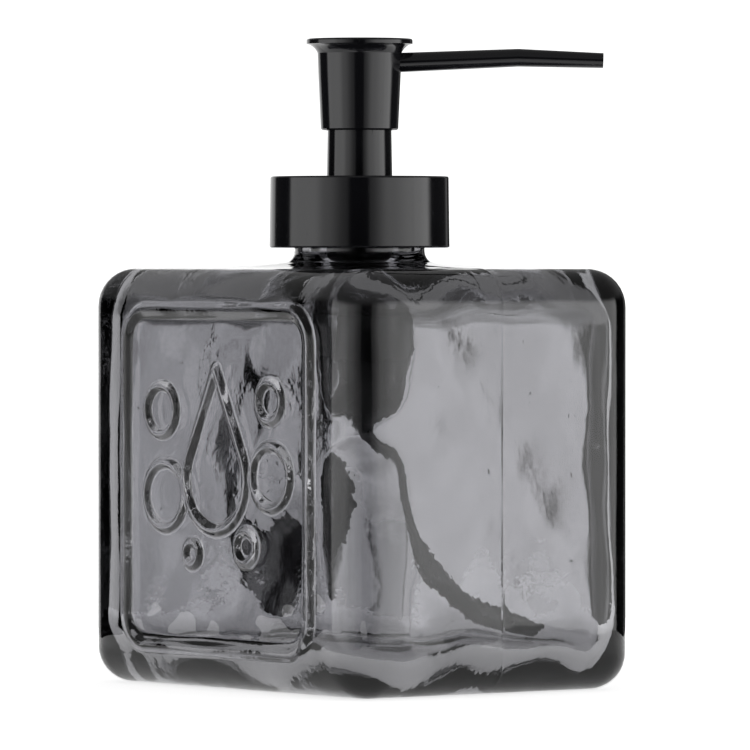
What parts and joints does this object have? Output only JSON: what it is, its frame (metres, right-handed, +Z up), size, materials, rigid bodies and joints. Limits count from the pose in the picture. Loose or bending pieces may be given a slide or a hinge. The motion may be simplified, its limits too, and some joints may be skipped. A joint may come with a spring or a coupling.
{
  "type": "soap pump dispenser",
  "caption": "Rectangular smoked glass bottle with a raised front panel frame and a gloss black screw-on lotion pump whose long thin spout turns with the press-down head.",
  "frame": {"origin": "centre of the bottle's underside, on the pump's axis", "axes": "+Z up along the pump's axis; the framed front panel faces -Y and the wide side of the bottle runs along X"},
  "size_m": [0.1064, 0.0875, 0.1486],
  "materials": {
    "smoked_glass": "fire polished, smoke grey all through",
    "gloss_black": "high gloss moulding",
    "black_polypropylene": "as moulded",
    "black_tubing": "extruded, smooth",
    "spring_steel": "drawn wire",
    "ball_steel": "ground and polished",
    "gasket_foam": "cut from sheet foam",
    "seal_rubber": "soft moulding"
  },
  "bodies": {
    "bottle": {"bottle": "smoked_glass"},
    "pump_engine": {"pump_chamber": "black_polypropylene", "guide_sleeve": "gloss_black", "neck_gasket": "gasket_foam", "ball_cage": "black_polypropylene", "dip_tube": "black_tubing", "return_spring": "spring_steel"},
    "collar": {"collar_shell": "gloss_black", "collar_insert": "black_polypropylene"},
    "plunger": {"stem_tube": "black_polypropylene", "piston_core": "black_polypropylene", "piston_seal": "seal_rubber"},
    "head": {"head_shell": "gloss_black", "head_core": "black_polypropylene", "spout_tube": "gloss_black"},
    "inlet_check": {"inlet_ball": "ball_steel"},
    "outlet_check": {"outlet_ball": "ball_steel"}
  },
  "joints": [
    {"name": "pump_rise", "type": "slide", "parent": "bottle", "child": "pump_engine", "axis": [0, 0, 1], "range_m": [0, 0.0053]},
    {"name": "collar_unscrew", "type": "hinge", "parent": "pump_engine", "child": "collar", "pos_m": [0, 0, 0.11], "axis": [0, 0, 1], "range_deg": [0, 450]},
    {"name": "pump_press", "type": "slide", "parent": "pump_engine", "child": "plunger", "axis": [0, 0, -1], "range_m": [0, 0.01], "stiffness_N_per_m": 400, "springref_m": -0.006, "deforming": ["return_spring"]},
    {"name": "head_swivel", "type": "hinge", "parent": "plunger", "child": "head", "pos_m": [0, 0, 0.138], "axis": [0, 0, 1], "continuous": true},
    {"name": "inlet_ball_lift", "type": "slide", "parent": "pump_engine", "child": "inlet_check", "axis": [0, 0, 1], "range_m": [0, 0.0012]},
    {"name": "outlet_ball_lift", "type": "slide", "parent": "plunger", "child": "outlet_check", "axis": [0, 0, 1], "range_m": [0, 0.001]}
  ],
  "couplings": [
    {"joint": "pump_rise", "follows": "collar_unscrew", "m_per_rad": 0.0006737}
  ]
}
